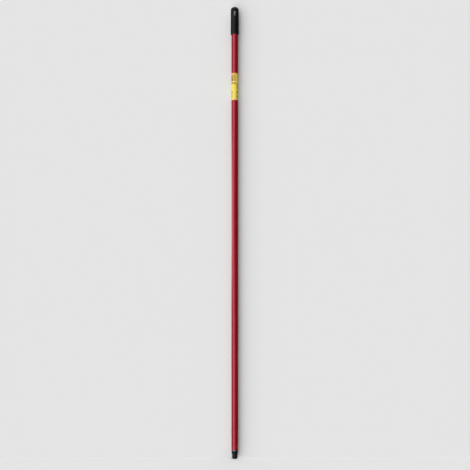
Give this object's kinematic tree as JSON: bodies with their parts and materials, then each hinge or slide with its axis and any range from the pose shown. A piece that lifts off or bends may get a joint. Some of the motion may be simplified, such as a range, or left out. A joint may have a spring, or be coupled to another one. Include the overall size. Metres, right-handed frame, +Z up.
{
  "type": "roller extension pole",
  "caption": "Fixed-length painter's pole: a steel tube in red film, a black hang cap with a slot at the top and a black threaded tip for a roller frame at the bottom.",
  "frame": {"origin": "middle of the threaded tip's end face, the lowest point of the pole", "axes": "+Z up along the pole's axis, from the threaded tip to the hang cap; -Y is the front, where the label faces; the hang slot runs along Y"},
  "size_m": [0.0274, 0.0274, 1.524],
  "materials": {
    "bare_steel": "bright cold-rolled steel",
    "red_film": "glossy shrunk film",
    "label_paper": "coated label stock, printed bars and stripes",
    "black_nylon": "moulded nylon",
    "black_cap_plastic": "satin moulded plastic"
  },
  "bodies": {
    "root": {"steel_tube": "bare_steel", "red_film_sleeve": "red_film", "label": "label_paper", "threaded_tip": "black_nylon", "hang_cap": "black_cap_plastic"}
  },
  "joints": []
}
